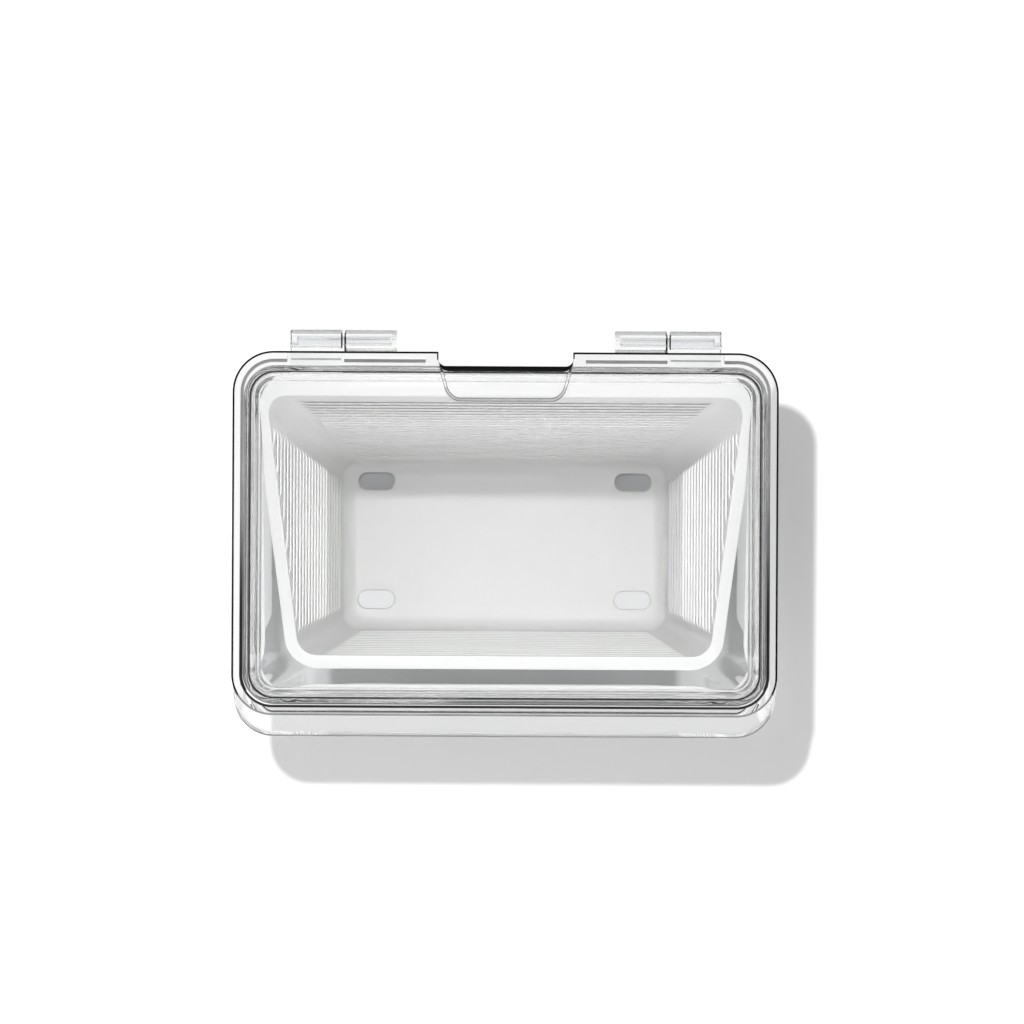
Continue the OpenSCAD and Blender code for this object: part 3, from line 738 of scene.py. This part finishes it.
# The notch's cutter: a stack of rounded outlines open to the back, whose front leans outwards in a
# quarter ellipse just below the scoop's floor. That rounding reads as a black line: painted black on its front and
# sides, standing in for shade.
def notchCutter(s):
    weights = outlineWeights(*s["notchSteps"])
    across, up = quarter(8)
    wide, high = s["notchRound"]
    below, above = s["notchPast"]
    start = s["topZ"] - s["scoopDepth"] - high
    z = np.concatenate([[s["topZ"] - s["lipH"] - below, start - 0.01], start + high * up, [s["topZ"] + above]])
    grow = np.concatenate([[0.0, 0.0], wide * (1 - across), [wide]])
    front, backY = s["notchY"] - grow, s["notchY"] + s["notchOut"]
    half = s["notchHalf"] + s["notchSide"] * grow
    grid = outlineGrid(weights, half, (backY - front) / 2, s["notchR"] + grow, 0.0, (backY + front) / 2, z)
    faceSlots = np.full((len(z) - 1, len(weights)), lidSlot["clear"])
    lined = (weights[:, 3] < s["frontTurn"]) | (np.abs(weights[:, 2]) > flatShare)
    faceSlots[1:-1, lined] = lidSlot["dark"]
    return grid, faceSlots


# The scoop's cutter: rounded outlines that narrow towards the inner end, with a sloping edge between two painted
# grey lines of shade
def scoopCutter(s):
    weights = outlineWeights(*s["scoopSteps"])
    deep, line, soft = s["scoopDepth"], s["scoopLine"], s["scoopSoft"]
    z = s["topZ"] + np.array([-deep, line - deep, -line, 0.0, s["scoopPast"]])
    less = np.array([soft, soft - line, line, 0.0, 0.0])
    inner, backY = s["notchY"] - s["scoopL"] + less, s["notchY"] + s["notchOut"]
    grid = outlineGrid(weights, s["notchHalf"] - less, (backY - inner) / 2, s["scoopR"] - less / 2,
                       0.0, (backY + inner) / 2, z)
    taper = np.clip((s["notchY"] - grid[..., 1]) / s["scoopL"], 0, 1)
    grid[..., 0] *= 1 - taper * (1 - s["scoopEnd"] / s["notchHalf"])
    faceSlots = np.full((len(z) - 1, len(weights)), lidSlot["clear"])
    faceSlots[[0, 2]] = lidSlot["grey"]
    return grid, faceSlots


# A relief's cutter under the plate's back edge: a stack of two outlines with hardly rounded corners
def reliefCutter(x0, x1, s):
    y0, y1, top = s["notchY"], s["reliefBack"], s["topZ"] - s["plate"]
    return outlineGrid(outlineWeights(3, 2), (x1 - x0) / 2, (y1 - y0) / 2, s["reliefR"],
                       (x0 + x1) / 2, (y0 + y1) / 2, [top - s["reliefDeep"], top])


lidPoints, lidFaces = lidBody(lidShape)
lid = makeShape("lidBody", lidPoints, lidSkins, slots=lidFaces)
lidReach = armReach(turnAngles, hingeShape, hingeShape["webTop"], hingeShape["webLow"], hingeShape["webRoot"])
knuckles = []
for side in (-1, 1):
    openX = side * (hingeShape["gapX"] - hingeShape["gap"] / 2)
    shutX = side * (hingeShape["gapX"] - hingeShape["gap"] / 2 - hingeShape["length"])
    boreX = shutX + side * hingeShape["closedEnd"]
    knucklePoints = blindKnuckle(hingeShape, openX, shutX, boreX, lidReach, turnAngles)
    knuckleFaces = np.full((len(knucklePoints) - 1, len(turnAngles)), lidSlot["clear"])
    # the knuckle end that faces the gap gets painted shade
    knuckleFaces[3, paintedGapShade] = lidSlot["dark"]
    knuckles.append(makeShape("knuckle", knucklePoints, lidSkins, slots=knuckleFaces))
cutters = []
for cutPoints, cutFaces in (notchCutter(lidShape), scoopCutter(lidShape)):
    cutters.append(makeShape("cutter", cutPoints, lidSkins, slots=cutFaces))
bare, reliefIn, reliefOut = lidShape["bareHalf"], lidShape["reliefIn"], lidShape["reliefOut"]
for x0, x1 in ((-bare, bare), (reliefIn, reliefOut), (-reliefOut, -reliefIn)):
    cutters.append(makeShape("cutter", reliefCutter(x0, x1, lidShape), lidSkins))
combine(lid, cutters, "DIFFERENCE")
combine(lid, knuckles, "UNION")
softShade(lid, lidShape["softAngle"])
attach(lid, "lid")
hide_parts("lid")
print("lid made:", len(lid.data.polygons), "faces")


# Floor, light and camera

# Each box of the floor has a middle and half sizes, and counts for both sides of the keeper
stageLook = {"floorHalf": 0.24, "floorTone": 0.78, "floorRough": 0.9, "floorDrop": 0.0002, "glow": 0.9,
             "glowSoft": 0.0015, "seenThrough": 0.55, "underKeeper": ((0.0, 0.0), (0.056, 0.043)),
             "frontSlots": ((0.041, -0.0196), (0.0085, 0.0055)), "backGlow": 0.06,
             "backSlots": ((0.041, 0.0182), (0.0085, 0.0055)), "sunPower": 0.57, "sunTilt": (6.6, 1.0),
             "sunSoft": 1.0, "spotPlace": (-0.058, 0.071, 1.328), "spotPower": 60.0, "spotSize": 0.007,
             "skyStops": ((0.0, 0.3), (0.3, 0.85), (0.45, 1.2), (0.75, 1.2), (0.9, 0.42)),
             "skyTilt": (-0.25, -0.7, 0.0), "skySide": -0.4, "surround": 0.95, "horizon": (0.2, 0.5)}

floorMesh = bpy.data.meshes.new("floor")
half = stageLook["floorHalf"]
floorMesh.from_pydata([(-half, -half, 0), (half, -half, 0), (half, half, 0), (-half, half, 0)], [], [(0, 1, 2, 3)])
floor = makeObject("floor", floorMesh)
floorPaint, floorTree, floorShader, floorPlace = newMaterial("floorPaint")
setInputs(floorTree, floorShader, {"Base Color": (stageLook["floorTone"],) * 3 + (1,),
                                   "Roughness": stageLook["floorRough"], "Specular IOR Level": 0.0})
floorSide = addMath(floorTree, "ABSOLUTE", axisOf(floorTree, floorPlace, "X"))
floorFold = addNode(floorTree, "CombineXYZ", {"X": floorSide, "Y": axisOf(floorTree, floorPlace, "Y")})


# One where the floor lies inside a box round a middle, nought elsewhere: the larger of the two side
# distances goes through a short ramp at nought
def floorBox(middle, half):
    away = addVector(floorTree, "SUBTRACT", floorFold.outputs["Vector"], (*middle, 0))
    past = addVector(floorTree, "SUBTRACT", addVector(floorTree, "ABSOLUTE", away), (*half, 0))
    most = addMath(floorTree, "MAXIMUM", axisOf(floorTree, past, "X"), axisOf(floorTree, past, "Y"))
    return addRange(floorTree, most, (-stageLook["glowSoft"], stageLook["glowSoft"]), (1.0, 0.0))


# Where it is seen through clear plastic the floor glows white: some outside the base, as an evenly bright backdrop;
# all under the front drain slots and a little under the back ones, as a painted pool of light; none elsewhere under
# the keeper
floorOut = addMath(floorTree, "MULTIPLY_ADD", floorBox(*stageLook["underKeeper"]),
                   -stageLook["seenThrough"], stageLook["seenThrough"])
floorPart = addMath(floorTree, "MAXIMUM", floorOut, floorBox(*stageLook["frontSlots"]))
backdropAndPaintedLight = addMath(floorTree, "MULTIPLY_ADD", floorBox(*stageLook["backSlots"]), stageLook["backGlow"], floorPart)
floorRay = addNode(floorTree, "LightPath").outputs["Is Transmission Ray"]
floorGlow = addNode(floorTree, "Emission", {"Strength": stageLook["glow"]})
mixShaders(floorTree, addMath(floorTree, "MULTIPLY", floorRay, backdropAndPaintedLight),
           floorShader.outputs["BSDF"], floorGlow.outputs["Emission"])
floorMesh.materials.append(floorPaint)
floor.location.z = -stageLook["floorDrop"]
floor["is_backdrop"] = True


def addLamp(name, kind, power):
    data = bpy.data.lights.new(name, kind)
    data.energy = power
    return makeObject(name, data)


def makeGroup(name, members):
    made = bpy.data.collections.new(name)
    for member in members:
        made.objects.link(member)
    return made


# The sun lights only the keeper, and only the basket stops it
sun = addLamp("keySun", "SUN", stageLook["sunPower"])
sun.data.angle = math.radians(stageLook["sunSoft"])
backTilt, leftTilt = [math.radians(v) for v in stageLook["sunTilt"]]
sun.rotation_euler = (-backTilt, -leftTilt, 0)
sun.light_linking.receiver_collection = makeGroup("keeperPieces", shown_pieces())
sun.light_linking.blocker_collection = makeGroup("sunStops", [basket])

# A small lamp beside the camera lights only the floor and gives the shadow its place
spot = addLamp("floorLamp", "POINT", stageLook["spotPower"])
spot.data.shadow_soft_size = stageLook["spotSize"]
spot.location = stageLook["spotPlace"]
spot.light_linking.receiver_collection = makeGroup("floorOnly", [floor])

# The sky runs through its stops from the horizon up, leans to the front and left, and is dimmer at both
# sides: fade + fade * (tilt + side * x * x). Low down it is pale where it is seen through clear plastic,
# and it is plain white where the camera sees it.
world = bpy.data.worlds.new("studio")
scene.world = world
world.use_nodes = True
sky = world.node_tree
skyPlace = addNode(sky, "TexCoord").outputs["Generated"]
skyX, skyZ = axisOf(sky, skyPlace, "X"), axisOf(sky, skyPlace, "Z")
skyRay = addNode(sky, "LightPath").outputs
skyFade = addRamp(sky, skyZ, [(place, (level,) * 3) for place, level in stageLook["skyStops"]])
skyTilt = addVector(sky, "DOT_PRODUCT", skyPlace, stageLook["skyTilt"])
skyLean = addMath(sky, "MULTIPLY_ADD", addMath(sky, "MULTIPLY", skyX, skyX), stageLook["skySide"], skyTilt)
skyLevel = addMath(sky, "MULTIPLY_ADD", skyLean, skyFade, skyFade)
skyLow = addRange(sky, skyZ, stageLook["horizon"], (1.0, 0.0))
skyThrough = addMath(sky, "MULTIPLY", skyLow, skyRay["Is Transmission Ray"])
skySeen = addMix(sky, skyThrough, skyLevel, stageLook["surround"])
setInputs(sky, sky.nodes["Background"], {"Color": (1, 1, 1, 1),
                                         "Strength": addMix(sky, skyRay["Is Camera Ray"], skySeen, 1.0)})

cameraLook = {"nadir": (-0.0005, -0.0046), "height": 1.328, "focalPx": 4120.0, "centrePx": (503.0, 553.0),
              "roll": 0.3, "sensor": 36.0, "imagePx": 1024.0, "near": 0.01, "far": 50.0}
cameraData = bpy.data.cameras.new("camera")
imagePx, (centreX, centreY) = cameraLook["imagePx"], cameraLook["centrePx"]
cameraData.sensor_width = cameraLook["sensor"]
cameraData.lens = cameraLook["focalPx"] * cameraLook["sensor"] / imagePx
cameraData.shift_x = (imagePx / 2 - centreX) / imagePx
cameraData.shift_y = (centreY - imagePx / 2) / imagePx
cameraData.clip_start = cameraLook["near"]
cameraData.clip_end = cameraLook["far"]
camera = makeObject("camera", cameraData)
camera.location = (*cameraLook["nadir"], cameraLook["height"])
camera.rotation_euler = (0, 0, math.radians(cameraLook["roll"]))
scene.camera = camera

scene.view_settings.view_transform = "Standard"
bounces = {"max_bounces": 32, "transmission_bounces": 32, "glossy_bounces": 12, "diffuse_bounces": 8,
           "transparent_max_bounces": 24}
for name, most in bounces.items():
    setattr(scene.cycles, name, most)
print("stage made")
